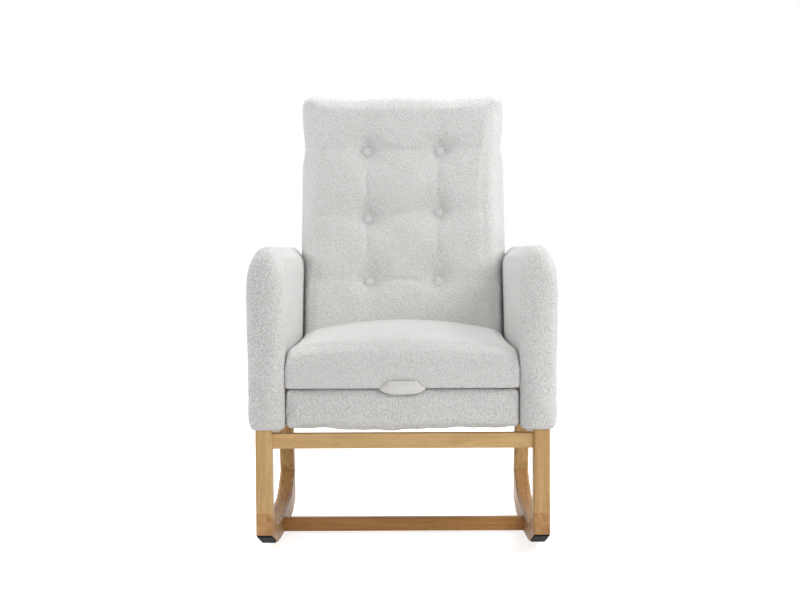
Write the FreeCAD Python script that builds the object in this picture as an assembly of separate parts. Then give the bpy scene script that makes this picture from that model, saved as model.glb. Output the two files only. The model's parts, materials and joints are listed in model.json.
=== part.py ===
import FreeCAD, Part
import math
import os

# Upholstered rocking chair with a padded footrest that pulls out from under the seat.
# Millimetres. The chair faces -Y and its rockers touch Z = 0 under the middle of the chair.
# Left and right are the sitter's, so the left side is +X.
# "Run" means a distance back from the front faces of the front legs.
# The back is drawn upright in X, N and T, N square to it and T up it, and then leaned.

V = FreeCAD.Vector

# Clearances
FIT = 0.3                       # between pieces that seat on each other
SNUG = 0.1                      # round screws in wood
SLIDE_PLAY = 0.5                # between the members of a slide
CUSHION_GAP = 3.0               # between the seat and the fullest places of the back
CUTTER = 2000.0                 # reach of cutting tools, larger than the chair

# Wooden base
LEG_FRONT_Y = -400.0            # puts the origin under the middle of the chair
LEG_SIZE = 37.0
LEG_OUTSET = 5.0                # legs stand this far outside the middle of the arms
LEG_ROUND = 5.0
LEG_FOOT_Z = 101.0              # where the legs stand on the rockers
LEG_TOP_Z = 285.0
REAR_LEG_REACH = 47.0           # front of the rear leg's foot behind the seat
REAR_LEG_RAKE = 15.0            # degrees, top forward
ROCKER_LOW_SETBACK = 107.0      # from the rear of the seat to where the soles touch the floor
ROCKER_FRONT_RADIUS = 3200.0    # flatter sole in front of that place
ROCKER_REAR_RADIUS = 900.0      # rounder sole behind it
ROCKER_RAMP_RUN = 112.0         # to where the front ramp meets the sole
ROCKER_WAIST_Z = 50.0           # flat top between the legs
ROCKER_SWEEP = 250.0            # radius of the sweeps up to the legs
ROCKER_NOSE_Z = 53.0            # lower end of the front face
ROCKER_BEVEL = 5.0
STOP_PAD_LENGTH = 104.0
STOP_PAD_THICK = 4.0
STOP_PAD_WIDTH = 33.0
STOP_PAD_BEVEL = 1.5
APRON_DROP = 8.0                # below the tops of the legs
APRON_HEIGHT = 34.0
APRON_THICK = 20.0
APRON_SETBACK = 8.0             # behind the front faces of the legs
REAR_APRON_SETBACK = 12.0       # behind the front faces of the raked legs, at the top
SIDE_RAIL_HEIGHT = 36.0
SIDE_RAIL_THICK = 30.0
STRETCHER_RUN = 275.0           # to its middle
STRETCHER_BOTTOM_Z = 5.0
STRETCHER_HEIGHT = 32.0
STRETCHER_THICK = 24.0
STRETCHER_ROUND = 4.0
RAIL_ROUND = 3.0
TENON_LENGTH = 12.0
TENON_SHOULDER = 6.0
LEG_TENON_LENGTH = 22.0
LEG_TENON_SHOULDER = 9.0

# Arms
SEAT_WIDTH = 515.0              # clear between the arms
ARM_THICK = 84.5
ARM_OVERHANG = 19.0             # in front of the front legs
ARM_HEIGHT = 399.0              # above the legs
ARM_FRONT_ROUND = 65.0
ARM_OUTER_ROUND = 42.0          # width of the rounding along the outer top edge
ARM_OUTER_DROP = 104.0          # height of the same rounding
ARM_INNER_ROUND = 40.0          # width of the rounding along the inner top edge
ARM_INNER_DROP = 56.0           # height of the same rounding
ARM_FRONT_DROP = 20.0           # depth of the rounding down the front edges
ARM_ROUND_STEPS = 4             # outlines that make up a rounded edge
ARM_TAPER = 9.0                 # the outer face draws in this much at the bottom
ARM_TAPER_HEIGHT = 200.0
ARM_FRAME_THICK = 18.0
ARM_FRAME_INSET = 45.0          # under the padding at the top, front and rear

# Seat box
BOARD_THICK = 22.0
SEAT_BOX_RUN = 38.0             # to the front rail
SEAT_BOX_LIFT = 7.0             # above the legs
SEAT_BOX_HEIGHT = 126.0
SEAT_RAIL_HEIGHT = 40.0
SEAT_BACK_RAIL_SETBACK = 24.0   # from the rear of the seat
LOWER_RAIL_SETBACK = 57.0
LOWER_RAIL_HEIGHT = 34.0
CORNER_BLOCK = 45.0
CORNER_BLOCK_HEIGHT = 32.0
STRAP_WIDTH = 58.0
STRAP_THICK = 2.0
SEAT_STRAPS = 6
SEAT_STRAP_STEP = 80.0
DUST_COVER_THICK = 1.2
DUST_COVER_MARGIN = 4.0         # short of the seat's depth

# Seat cushion
SEAT_SEAM_GAP = 2.0             # above the footrest's front pad
SEAT_BORDER = 88.0              # height of its front border
SEAT_CROWN = 34.0
SEAT_FRONT_CROWN = 8.0
SEAT_NOSE = 46.0                # depth of the rounded front edge
SEAT_NOSE_DROP = 34.0
SEAT_DRAWN_IN = 3.0             # sides pull in between the corners
SEAT_SIDE_SWELL = 1.2
SEAT_SIDE_GAP = 1.8             # each side, to the arms

# Back
SEAT_DEPTH = 519.0              # run to the back at the seat line
SEAT_LINE_RISE = 6.0            # of that line above the seat's border
BACK_RECLINE = 16.0             # degrees from upright
BACK_CUSHION_THICK = 95.0
BACK_HEAD = 75.5                # from its highest swell to its top seam
BACK_HEAD_ROUND = 18.0          # width of the rounding at its top corners
BACK_CUSHION_LIFT = 3.0         # above the seat box
BACK_CUSHION_FOOT = -60.0       # T below which nothing of it is left
BACK_SIDE_GAP = 2.5             # each side, to the arms
BACK_WAIST_FLARE = 8.0          # wider than between the arms, at the upper rows of buttons
BACK_HEAD_FLARE = 30.0          # the same, at the head
BACK_SIDE_SWELL = 1.0
BACK_EDGE_N = 30.0              # front edge of the cushion's sides
BACK_CROWN = 14.0               # swell between the buttons, in front of N = 0
BACK_PULL = 10.0                # swell lost where a row of buttons pulls the cushion in
CHANNEL_N = 0.0                 # bottom of the two upright channels half-way between buttons
DIMPLE_N = 16.0                 # bottom of the same channels at the buttons
TUFT_FIRST_T = 130.0            # lowest row of buttons
TUFT_STEP = 177.0
TUFT_ROWS = 3
TUFT_COLUMN_LOW = 90.0          # half the distance between the two columns, lowest row
TUFT_COLUMN_HIGH = 96.5         # the same, top row
TUFT_SLIP = 8.0                 # middle row: the right button is this much low, the left high
TUFT_BAND = 23.0                # half height of the level band along a row
SWELL_STEPS = 2                 # cross-sections from such a band to the fullest place
BUTTON_SEAT_N = 20.0            # flat seat of a button, sunk in its dimple
BUTTON_RADIUS = 13.0
BUTTON_HEIGHT = 9.0
TIE_WIDTH = 4.0
TIE_THICK = 1.6
CLIP_SIZE = 12.0
CLIP_THICK = 1.5
SHELL_OVERLAP = 13.5            # of each arm's rear end
SHELL_DROP = 28.0               # below the top of the cushion
SHELL_BOTTOM = -150.0           # T
SHELL_SHOULDER = 155.0
SHELL_WALL = 8.0
SHELL_ROUND = 20.0
SHELL_ROUND_STEPS = 3
POST_DEPTH = 34.0
POST_DROP = 130.0               # below the top of the shell
BACK_BOTTOM_RAIL_HEIGHT = 48.0
TOP_RAIL_LEG = 60.0             # width of the top rail beside its opening
TOP_RAIL_ARCH = 60.0            # corner radius of the opening
TOP_RAIL_CROWN = 52.0           # height of the top rail above the opening

# Fasteners
BOLT_RADIUS = 3.0
BOLT_HEAD_RADIUS = 7.0
BOLT_HEAD_HEIGHT = 4.0
ARM_BOLT_GRIP = 14.0            # length held in the arm frame
ARM_BOLT_RUNS = (130.0, 440.0)
ARM_BOLT_DROP = 23.0            # below the top of the seat box
ARM_BOLT_CUT = 12.0             # square cut in the padding round a bolt
BASE_BOLT_RADIUS = 4.0
BASE_BOLT_HEAD_RADIUS = 8.0
BASE_BOLT_HEAD_HEIGHT = 6.0
BASE_BOLT_RUNS = (110.0, 450.0)
BASE_BOLT_GRIP = 36.0
BRACKET_THICK = 4.0
BRACKET_N = (50.0, 128.0)
BRACKET_T = (-92.0, -42.0)

# Footrest
FOOTREST_TRAVEL = 300.0
SLIDE_OVERLAP = 50.0            # length that stays inside the next member at full travel
SLIDE_RUN = 60.0
SLIDE_LIFT = 8.0                # above the bottom of the seat box
SLIDE_HEIGHT = 35.0
SLIDE_THICK = 12.7
SLIDE_WALL = 1.2
SLIDE_LIP = 2.0                 # outer member's flanges stop this far short of the runner
RUNNER_THICK = 14.0
RUNNER_HEIGHT = 30.0
DECK_THICK = 10.0
DECK_LENGTH = 364.0
TOP_PAD_THICK = 26.0
TOP_PAD_ROUND = 9.0
FRONT_PAD_GAP = 2.5             # each side, to the arms
FRONT_PAD_RUN = -2.0
FRONT_PAD_DEPTH = 38.0
FRONT_PAD_LIFT = 2.0            # above the legs
FRONT_PAD_HEIGHT = 87.0
FRONT_PAD_CROWN = 5.0
FRONT_PAD_ROUND = 10.0
FRONT_PAD_ROUND_STEPS = 3
FRONT_BOARD_THICK = 12.0
FRONT_BOARD_MARGIN = 8.0        # padding round the edges of the board
TAB_LENGTH = 102.0
TAB_TOP_LENGTH = 61.0
TAB_RISE = 15.0                 # above the seam
TAB_FALL = 13.0                 # below the seam
TAB_THICK = 3.0
TAB_BOW = 14.0                  # how far its middle stands off
TAB_FOOT = 14.0                 # length sewn into the seam
TAB_FOOT_THICK = 1.4

# Places that follow from the sizes above
ARM_INNER = SEAT_WIDTH / 2
ARM_OUTER = ARM_INNER + ARM_THICK
ARM_MIDDLE = ARM_INNER + ARM_THICK / 2
ARM_BOTTOM_Z = LEG_TOP_Z + FIT
ARM_TOP_Z = LEG_TOP_Z + ARM_HEIGHT
LEG_MIDDLE = ARM_MIDDLE + LEG_OUTSET
LEG_INNER = LEG_MIDDLE - LEG_SIZE / 2
LEG_OUTER = LEG_MIDDLE + LEG_SIZE / 2
REAR_LEG_RUN = SEAT_DEPTH + REAR_LEG_REACH
ROCKER_LOW_RUN = SEAT_DEPTH - ROCKER_LOW_SETBACK
APRON_BOTTOM_Z = LEG_TOP_Z - APRON_DROP - APRON_HEIGHT
SEAT_BOX_BOTTOM_Z = LEG_TOP_Z + SEAT_BOX_LIFT
SEAT_BOX_TOP_Z = SEAT_BOX_BOTTOM_Z + SEAT_BOX_HEIGHT
ARM_BOLT_Z = SEAT_BOX_TOP_Z - ARM_BOLT_DROP
FRONT_PAD_BOTTOM_Z = LEG_TOP_Z + FRONT_PAD_LIFT
FRONT_PAD_TOP_Z = FRONT_PAD_BOTTOM_Z + FRONT_PAD_HEIGHT
SEAT_SEAM_Z = FRONT_PAD_TOP_Z + SEAT_SEAM_GAP
SEAT_EDGE_Z = SEAT_SEAM_Z + SEAT_BORDER
SEAT_LINE_Z = SEAT_EDGE_Z + SEAT_LINE_RISE
BOARD_OUTER = ARM_INNER - FIT
BOARD_INNER = BOARD_OUTER - BOARD_THICK
BACK_Y = LEG_FRONT_Y + SEAT_DEPTH
BACK_WIDTH_LOW = SEAT_WIDTH - 2 * BACK_SIDE_GAP
BACK_WIDTH_WAIST = BACK_WIDTH_LOW + BACK_WAIST_FLARE
BACK_WIDTH_HEAD = BACK_WIDTH_LOW + BACK_HEAD_FLARE
SHELL_WIDTH = SEAT_WIDTH + 2 * SHELL_OVERLAP
BACK_HEAD_T = TUFT_FIRST_T + (TUFT_ROWS - 0.5) * TUFT_STEP
BACK_CUSHION_TOP = BACK_HEAD_T + BACK_HEAD
BACK_CUSHION_BOTTOM_Z = SEAT_BOX_TOP_Z + BACK_CUSHION_LIFT
SHELL_TOP = BACK_CUSHION_TOP - SHELL_DROP
POST_TOP = SHELL_TOP - POST_DROP
STRAP_N = BACK_CUSHION_THICK + FIT
POST_N = STRAP_N + STRAP_THICK
SHELL_FLOOR_N = POST_N + POST_DEPTH + FIT
POST_BOTTOM = SHELL_BOTTOM + SHELL_WALL
SLIDE_LENGTH = FOOTREST_TRAVEL + SLIDE_OVERLAP
SLIDE_BOTTOM_Z = SEAT_BOX_BOTTOM_Z + SLIDE_LIFT
RUNNER_OUTER = BOARD_INNER - SLIDE_THICK
DECK_RUN = FRONT_PAD_RUN + FRONT_PAD_DEPTH
DECK_BOTTOM_Z = SLIDE_BOTTOM_Z + RUNNER_HEIGHT
TOP_PAD_BOTTOM_Z = DECK_BOTTOM_Z + DECK_THICK + FIT


def run(distance):
    """Y of a place this far behind the front faces of the front legs."""
    return LEG_FRONT_Y + distance


def box(x, y, z):
    """Box between pairs of limits."""
    return Part.makeBox(x[1] - x[0], y[1] - y[0], z[1] - z[0], V(x[0], y[0], z[0]))


def span(low, length):
    return (low, low + length)


def centred(length, middle=0.0):
    return (middle - length / 2, middle + length / 2)


def grown(limits, by):
    return (limits[0] - by, limits[1] + by)


def rod(radius, start, end):
    axis = end.sub(start)
    return Part.makeCylinder(radius, axis.Length, start, axis)


def path(start, *steps):
    """Closed wire. A step is an end point, or a pair for an arc: a point on it and its end."""
    edges = []
    here = start
    for step in steps:
        if isinstance(step, tuple):
            there = step[1]
            edges.append(Part.Arc(here, step[0], there).toShape())
        else:
            there = step
            edges.append(Part.LineSegment(here, there).toShape())
        here = there
    edges.append(Part.LineSegment(here, start).toShape())
    return Part.Wire(edges)


def slab(wire, along):
    return Part.Face(wire).extrude(along)


def bevelled(shape, size, chosen):
    """Chamfer on the edges that a test picks."""
    return shape.makeChamfer(size, [edge for edge in shape.Edges if chosen(edge)])


def quarter(steps):
    """Angles from 0 to a right angle."""
    return [math.pi / 2 * step / steps for step in range(steps + 1)]


def rounded(shape, radius, chosen):
    """Fillet on the edges that a test picks."""
    return shape.makeFillet(radius, [edge for edge in shape.Edges if chosen(edge)])


def mirrored(shape):
    return shape.mirror(V(0, 0, 0), V(1, 0, 0))


def pair(name, left):
    return {name + "_left": left, name + "_right": mirrored(left)}


def group(solids):
    return Part.makeCompound(solids)


def both_sides(solids):
    return group(solids + [mirrored(solid) for solid in solids])


def lean(shape):
    """Moves a piece of the back from its upright drawing to its place."""
    leaned = shape.copy()
    leaned.rotate(V(0, 0, 0), V(1, 0, 0), -BACK_RECLINE)
    leaned.translate(V(0, BACK_Y, SEAT_LINE_Z))
    return leaned


def behind(n):
    """Everything behind a plane that lies along the back."""
    return lean(box(centred(2 * CUTTER), span(n, CUTTER), centred(2 * CUTTER)))


def arc_rise(radius, half_chord):
    return radius - math.sqrt(radius ** 2 - half_chord ** 2)


def rear_leg_front(z):
    """Y of the raked front face of a rear leg."""
    return run(REAR_LEG_RUN) - (z - LEG_FOOT_Z) * math.tan(math.radians(REAR_LEG_RAKE))


REAR_LEG_DEPTH = LEG_SIZE / math.cos(math.radians(REAR_LEG_RAKE))


# Rockers and their stop pads

def sole(distance):
    """Point of the sole at a distance behind the front of the front legs."""
    radius = ROCKER_FRONT_RADIUS if distance < ROCKER_LOW_RUN else ROCKER_REAR_RADIUS
    return V(0, run(distance), arc_rise(radius, distance - ROCKER_LOW_RUN))


def nose():
    return V(0, LEG_FRONT_Y, ROCKER_NOSE_Z)


def rocker_outline():
    drop = LEG_FOOT_Z - ROCKER_WAIST_Z
    sweep_run = math.sqrt(2 * ROCKER_SWEEP * drop - drop ** 2)
    half_angle = math.atan2(sweep_run, ROCKER_SWEEP - drop) / 2
    via_run = ROCKER_SWEEP * math.sin(half_angle)
    via_z = ROCKER_WAIST_Z + ROCKER_SWEEP * (1 - math.cos(half_angle))
    front_foot = LEG_FRONT_Y + LEG_SIZE
    rear_foot = run(REAR_LEG_RUN)
    tail_run = REAR_LEG_RUN + REAR_LEG_DEPTH
    return path(
        nose(),
        V(0, LEG_FRONT_Y, LEG_FOOT_Z),
        V(0, front_foot, LEG_FOOT_Z),
        (V(0, front_foot + sweep_run - via_run, via_z), V(0, front_foot + sweep_run, ROCKER_WAIST_Z)),
        V(0, rear_foot - sweep_run, ROCKER_WAIST_Z),
        (V(0, rear_foot - sweep_run + via_run, via_z), V(0, rear_foot, LEG_FOOT_Z)),
        V(0, run(tail_run), LEG_FOOT_Z),
        sole(tail_run),
        (sole((tail_run + ROCKER_LOW_RUN) / 2), sole(ROCKER_LOW_RUN)),
        (sole((ROCKER_LOW_RUN + ROCKER_RAMP_RUN) / 2), sole(ROCKER_RAMP_RUN)),
    )


def rocker():
    blank = slab(rocker_outline(), V(LEG_SIZE, 0, 0))
    blank.translate(V(LEG_INNER, 0, 0))

    def upright_end(edge):
        limits = edge.BoundBox
        return limits.ZLength > LEG_SIZE and limits.YLength < FIT and limits.XLength < FIT

    def along_the_top(edge):
        limits = edge.BoundBox
        between_legs = limits.YMin > LEG_FRONT_Y + LEG_ROUND and limits.YMax < run(REAR_LEG_RUN) + FIT
        return limits.XLength < FIT and between_legs and limits.ZMin > ROCKER_WAIST_Z - FIT

    shaped = bevelled(rounded(blank, LEG_ROUND, upright_end), ROCKER_BEVEL, along_the_top)
    return shaped.cut([stretcher_tenon(FIT), front_leg_tenon(FIT), rear_leg_tenon(FIT)])


def stop_pad():
    """Flat rubber pad under the front ramp of a rocker."""
    along = sole(ROCKER_RAMP_RUN).sub(nose()).normalize()
    down = V(0, along.z, -along.y)
    start = nose().add(along * FIT).add(down * FIT)
    end = start.add(along * STOP_PAD_LENGTH)
    sink = down * STOP_PAD_THICK
    pad = slab(path(start, end, end.add(sink), start.add(sink)), V(STOP_PAD_WIDTH, 0, 0))
    pad.translate(V(LEG_MIDDLE - STOP_PAD_WIDTH / 2, 0, 0))
    lower = start.add(sink)

    def on_lower_face(edge):
        return all(abs(point.Point.sub(lower).dot(down)) < FIT for point in edge.Vertexes)

    return bevelled(pad, STOP_PAD_BEVEL, on_lower_face)


# Legs, rails and stretcher

def front_leg_tenon(slack=0.0):
    x = grown((LEG_INNER, LEG_OUTER), slack - LEG_TENON_SHOULDER)
    y = grown(span(LEG_FRONT_Y, LEG_SIZE), slack - LEG_TENON_SHOULDER)
    return box(x, y, (LEG_FOOT_Z - LEG_TENON_LENGTH - slack, LEG_FOOT_Z))


def front_leg():
    blank = box((LEG_INNER, LEG_OUTER), span(LEG_FRONT_Y, LEG_SIZE), (LEG_FOOT_Z, LEG_TOP_Z))
    leg = rounded(blank, LEG_ROUND, lambda edge: edge.BoundBox.ZLength > LEG_SIZE)
    return leg.cut([front_apron_tenon(FIT), side_rail_tenon(FIT)]).fuse(front_leg_tenon())


def raked_bar(x, front_inset, low, high):
    """Bar along a rear leg, its front and rear faces set in from the leg's."""
    foot = V(x[0], rear_leg_front(low) + front_inset, low)
    top = V(x[0], rear_leg_front(high) + front_inset, high)
    depth = V(0, REAR_LEG_DEPTH - 2 * front_inset, 0)
    return slab(path(foot, top, top.add(depth), foot.add(depth)), V(x[1] - x[0], 0, 0))


def rear_leg_tenon(slack=0.0):
    inset = LEG_TENON_SHOULDER - slack
    x = grown((LEG_INNER, LEG_OUTER), -inset)
    return raked_bar(x, inset, LEG_FOOT_Z - LEG_TENON_LENGTH - slack, LEG_FOOT_Z)


def rear_leg():
    blank = raked_bar((LEG_INNER, LEG_OUTER), 0.0, LEG_FOOT_Z, LEG_TOP_Z)
    leg = rounded(blank, LEG_ROUND, lambda edge: edge.BoundBox.ZLength > LEG_SIZE)
    return leg.cut([rear_apron_tenon(FIT), side_rail_tenon(FIT)]).fuse(rear_leg_tenon())


APRON_Z = span(APRON_BOTTOM_Z, APRON_HEIGHT)
FRONT_APRON_Y = span(LEG_FRONT_Y + APRON_SETBACK, APRON_THICK)
REAR_APRON_Y = span(rear_leg_front(APRON_Z[1]) + REAR_APRON_SETBACK, APRON_THICK)
SIDE_RAIL_Z = (LEG_TOP_Z - SIDE_RAIL_HEIGHT, LEG_TOP_Z)
STRETCHER_Y = centred(STRETCHER_THICK, run(STRETCHER_RUN))
STRETCHER_Z = span(STRETCHER_BOTTOM_Z, STRETCHER_HEIGHT)


def cross_tenon(y, z, slack):
    """Tenon through both ends of a rail that runs from leg to leg."""
    half = LEG_INNER + TENON_LENGTH + slack
    return box((-half, half), grown(y, slack - TENON_SHOULDER), grown(z, slack - TENON_SHOULDER))


def front_apron_tenon(slack=0.0):
    return cross_tenon(FRONT_APRON_Y, APRON_Z, slack)


def rear_apron_tenon(slack=0.0):
    return cross_tenon(REAR_APRON_Y, APRON_Z, slack)


def stretcher_tenon(slack=0.0):
    return cross_tenon(STRETCHER_Y, STRETCHER_Z, slack)


def cross_rail(y, z, radius, tenon):
    blank = box((-LEG_INNER, LEG_INNER), y, z)
    rail = rounded(blank, radius, lambda edge: edge.BoundBox.XLength > LEG_INNER)
    return rail.fuse(tenon).removeSplitter()


def side_rail_tenon(slack=0.0):
    x = centred(SIDE_RAIL_THICK - 2 * TENON_SHOULDER + 2 * slack, LEG_MIDDLE)
    rear = rear_leg_front(LEG_TOP_Z) + TENON_LENGTH
    y = (LEG_FRONT_Y + LEG_SIZE - TENON_LENGTH - slack, rear + slack)
    return box(x, y, grown(SIDE_RAIL_Z, slack - TENON_SHOULDER))


def side_rail():
    front = LEG_FRONT_Y + LEG_SIZE
    low, high = SIDE_RAIL_Z
    outline = path(
        V(0, front, low),
        V(0, front, high),
        V(0, rear_leg_front(high), high),
        V(0, rear_leg_front(low), low),
    )
    blank = slab(outline, V(SIDE_RAIL_THICK, 0, 0))
    blank.translate(V(LEG_MIDDLE - SIDE_RAIL_THICK / 2, 0, 0))
    rail = rounded(blank, RAIL_ROUND, lambda edge: edge.BoundBox.YLength > SIDE_RAIL_HEIGHT)
    return rail.fuse(side_rail_tenon()).removeSplitter().cut(base_bolt_holes())


# Bolts

def bolt(seat, along, length, radius, head_radius, head_height):
    """Hexagon-headed bolt: its head sits on the seat point, its shank runs along X or Z."""
    side = V(0, 1, 0)
    across = along.cross(side)
    corners = [
        seat + (side * math.cos(turn) + across * math.sin(turn)) * head_radius
        for turn in (math.pi / 3 * corner for corner in range(6))
    ]
    head = slab(path(*corners), along * -head_height)
    return head.fuse(rod(radius, seat, seat + along * length)).removeSplitter()


def base_bolt_seats():
    return [V(ARM_MIDDLE, run(distance), SIDE_RAIL_Z[0]) for distance in BASE_BOLT_RUNS]


def base_bolts():
    length = SIDE_RAIL_HEIGHT + BASE_BOLT_GRIP
    return [
        bolt(seat, V(0, 0, 1), length, BASE_BOLT_RADIUS, BASE_BOLT_HEAD_RADIUS, BASE_BOLT_HEAD_HEIGHT)
        for seat in base_bolt_seats()
    ]


def base_bolt_holes():
    depth = V(0, 0, SIDE_RAIL_HEIGHT + BASE_BOLT_GRIP + FIT)
    return [rod(BASE_BOLT_RADIUS + SNUG, seat, seat + depth) for seat in base_bolt_seats()]


ARM_FRAME_X = centred(ARM_FRAME_THICK, ARM_MIDDLE)
ARM_BOLT_LENGTH = ARM_FRAME_X[0] + ARM_BOLT_GRIP - BOARD_INNER


def arm_bolt_seats():
    return [V(BOARD_INNER, run(distance), ARM_BOLT_Z) for distance in ARM_BOLT_RUNS]


def arm_bolts():
    return [
        bolt(seat, V(1, 0, 0), ARM_BOLT_LENGTH, BOLT_RADIUS, BOLT_HEAD_RADIUS, BOLT_HEAD_HEIGHT)
        for seat in arm_bolt_seats()
    ]


def arm_bolt_holes():
    depth = V(ARM_BOLT_LENGTH + FIT, 0, 0)
    return [rod(BOLT_RADIUS + SNUG, seat, seat + depth) for seat in arm_bolt_seats()]


# Arms

def arm_outline(x, front_inset, top_inset, bottom):
    """Side outline of an arm, long enough to be cut along the back."""
    front = LEG_FRONT_Y - ARM_OVERHANG + front_inset
    top = ARM_TOP_Z - top_inset
    radius = ARM_FRONT_ROUND - front_inset
    rear = front + CUTTER
    turn = radius * (1 - math.sqrt(0.5))
    return path(
        V(x, front, bottom),
        V(x, front, top - radius),
        (V(x, front + turn, top - turn), V(x, front + radius, top)),
        V(x, rear, top),
        V(x, rear, bottom),
    )


def arm_panel(slack=0.0):
    x = grown(ARM_FRAME_X, slack)
    inset = ARM_FRAME_INSET - slack
    panel = slab(arm_outline(x[0], inset, inset, ARM_BOTTOM_Z - slack), V(x[1] - x[0], 0, 0))
    return panel.cut(behind(BACK_CUSHION_THICK - inset))


def arm_frame():
    return arm_panel().cut(base_bolt_holes() + arm_bolt_holes())


def arm_pad():
    """Padding of an arm: its outline drawn in towards both sides, as rounded edges."""
    outlines = []
    for turn in quarter(ARM_ROUND_STEPS):
        x = ARM_INNER + ARM_INNER_ROUND * (1 - math.cos(turn))
        drawn_in = 1 - math.sin(turn)
        outlines.append(arm_outline(x, ARM_FRONT_DROP * drawn_in, ARM_INNER_DROP * drawn_in, ARM_BOTTOM_Z))
    for turn in reversed(quarter(ARM_ROUND_STEPS)):
        x = ARM_OUTER - ARM_OUTER_ROUND * (1 - math.cos(turn))
        drawn_in = 1 - math.sin(turn)
        outlines.append(arm_outline(x, ARM_FRONT_DROP * drawn_in, ARM_OUTER_DROP * drawn_in, ARM_BOTTOM_Z))
    pad = Part.makeLoft(outlines, True, True)
    taper = path(
        V(ARM_OUTER, -CUTTER, ARM_BOTTOM_Z + ARM_TAPER_HEIGHT),
        V(ARM_OUTER, -CUTTER, ARM_BOTTOM_Z),
        V(ARM_OUTER - ARM_TAPER, -CUTTER, ARM_BOTTOM_Z),
    )
    bolt_cuts = [
        box((ARM_INNER, ARM_MIDDLE), centred(ARM_BOLT_CUT, seat.y), centred(ARM_BOLT_CUT, seat.z))
        for seat in arm_bolt_seats()
    ]
    cuts = [behind(BACK_CUSHION_THICK), arm_panel(FIT), slab(taper, V(0, 2 * CUTTER, 0))]
    return pad.cut(cuts + bolt_cuts)


# Seat box

SEAT_BOX_Z = (SEAT_BOX_BOTTOM_Z, SEAT_BOX_TOP_Z)
SEAT_RAIL_Z = (SEAT_BOX_TOP_Z - SEAT_RAIL_HEIGHT, SEAT_BOX_TOP_Z)
FRONT_RAIL_Y = span(run(SEAT_BOX_RUN), BOARD_THICK)
BACK_RAIL_Y = span(run(SEAT_DEPTH - SEAT_BACK_RAIL_SETBACK), BOARD_THICK)


def side_board():
    blank = box((BOARD_INNER, BOARD_OUTER), span(FRONT_RAIL_Y[0], CUTTER), SEAT_BOX_Z)
    return blank.cut([behind(BACK_CUSHION_THICK)] + arm_bolt_holes())


def seat_rail(y, z):
    return box((-BOARD_INNER, BOARD_INNER), y, z)


def corner_blocks():
    z = SEAT_RAIL_Z[1] - CORNER_BLOCK_HEIGHT
    made = []
    for corner_y, step in ((FRONT_RAIL_Y[1], CORNER_BLOCK), (BACK_RAIL_Y[0], -CORNER_BLOCK)):
        corner = V(BOARD_INNER, corner_y, z)
        outline = path(corner, corner + V(0, step, 0), corner - V(CORNER_BLOCK, 0, 0))
        made.append(slab(outline, V(0, 0, CORNER_BLOCK_HEIGHT)))
    return made


def seat_webbing():
    y = (FRONT_RAIL_Y[0], BACK_RAIL_Y[1])
    z = span(SEAT_BOX_TOP_Z, STRAP_THICK)
    middle = (SEAT_STRAPS - 1) / 2
    return [
        box(centred(STRAP_WIDTH, (place - middle) * SEAT_STRAP_STEP), y, z)
        for place in range(SEAT_STRAPS)
    ]


def dust_cover():
    z = (SEAT_BOX_BOTTOM_Z - FIT - DUST_COVER_THICK, SEAT_BOX_BOTTOM_Z - FIT)
    return box((-BOARD_OUTER, BOARD_OUTER), span(FRONT_RAIL_Y[0] + FIT, SEAT_DEPTH - DUST_COVER_MARGIN), z)


def seat_section(y, edge_z, crown, half_width):
    """Cross-section of the seat cushion: flat below, swelling sides and a crowned top."""
    shoulder = half_width - SEAT_DRAWN_IN
    middle_z = (SEAT_SEAM_Z + edge_z) / 2
    swollen = half_width + SEAT_SIDE_SWELL
    return Part.Wire([
        Part.LineSegment(V(-half_width, y, SEAT_SEAM_Z), V(half_width, y, SEAT_SEAM_Z)).toShape(),
        Part.Arc(V(half_width, y, SEAT_SEAM_Z), V(swollen, y, middle_z), V(shoulder, y, edge_z)).toShape(),
        Part.Arc(V(shoulder, y, edge_z), V(0, y, edge_z + crown), V(-shoulder, y, edge_z)).toShape(),
        Part.Arc(V(-shoulder, y, edge_z), V(-swollen, y, middle_z), V(-half_width, y, SEAT_SEAM_Z)).toShape(),
    ])


def seat_cushion():
    front = LEG_FRONT_Y
    half_width = ARM_INNER - SEAT_SIDE_GAP
    sections = []
    for degrees in (0, 35, 65, 90):
        turn = math.radians(degrees)
        y = front + SEAT_NOSE * (1 - math.cos(turn))
        edge_z = SEAT_EDGE_Z - SEAT_NOSE_DROP * (1 - math.sin(turn))
        crown = SEAT_FRONT_CROWN * (1 + math.sin(turn))
        sections.append(seat_section(y, edge_z, crown, half_width))
    middle = front + SEAT_DEPTH / 2
    rear = front + SEAT_DEPTH + SEAT_NOSE
    sections.append(seat_section(middle, SEAT_EDGE_Z, SEAT_CROWN, half_width - SEAT_DRAWN_IN))
    sections.append(seat_section(rear, SEAT_EDGE_Z, SEAT_CROWN, half_width))
    whole = Part.makeLoft(sections, True, True)
    frame_z = (SEAT_SEAM_Z - CUTTER, SEAT_BOX_TOP_Z + STRAP_THICK + FIT)
    frame = box(centred(2 * CUTTER), span(FRONT_RAIL_Y[0] - FIT, CUTTER), frame_z)
    return whole.cut([frame, behind(-BACK_CROWN - CUSHION_GAP)])


# Back frame and shell, drawn upright

def back_post():
    post = box((BOARD_INNER, BOARD_OUTER), span(POST_N, POST_DEPTH), (POST_BOTTOM, POST_TOP))
    return lean(post)


def shell_outline(inset, n):
    half = SHELL_WIDTH / 2 - inset
    top = SHELL_TOP - inset
    bottom = SHELL_BOTTOM + inset
    radius = SHELL_SHOULDER - inset
    turn = radius * (1 - math.sqrt(0.5))
    return path(
        V(-half, n, bottom),
        V(-half, n, top - radius),
        (V(-half + turn, n, top - turn), V(-half + radius, n, top)),
        V(half - radius, n, top),
        (V(half - turn, n, top - turn), V(half, n, top - radius)),
        V(half, n, bottom),
    )


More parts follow.
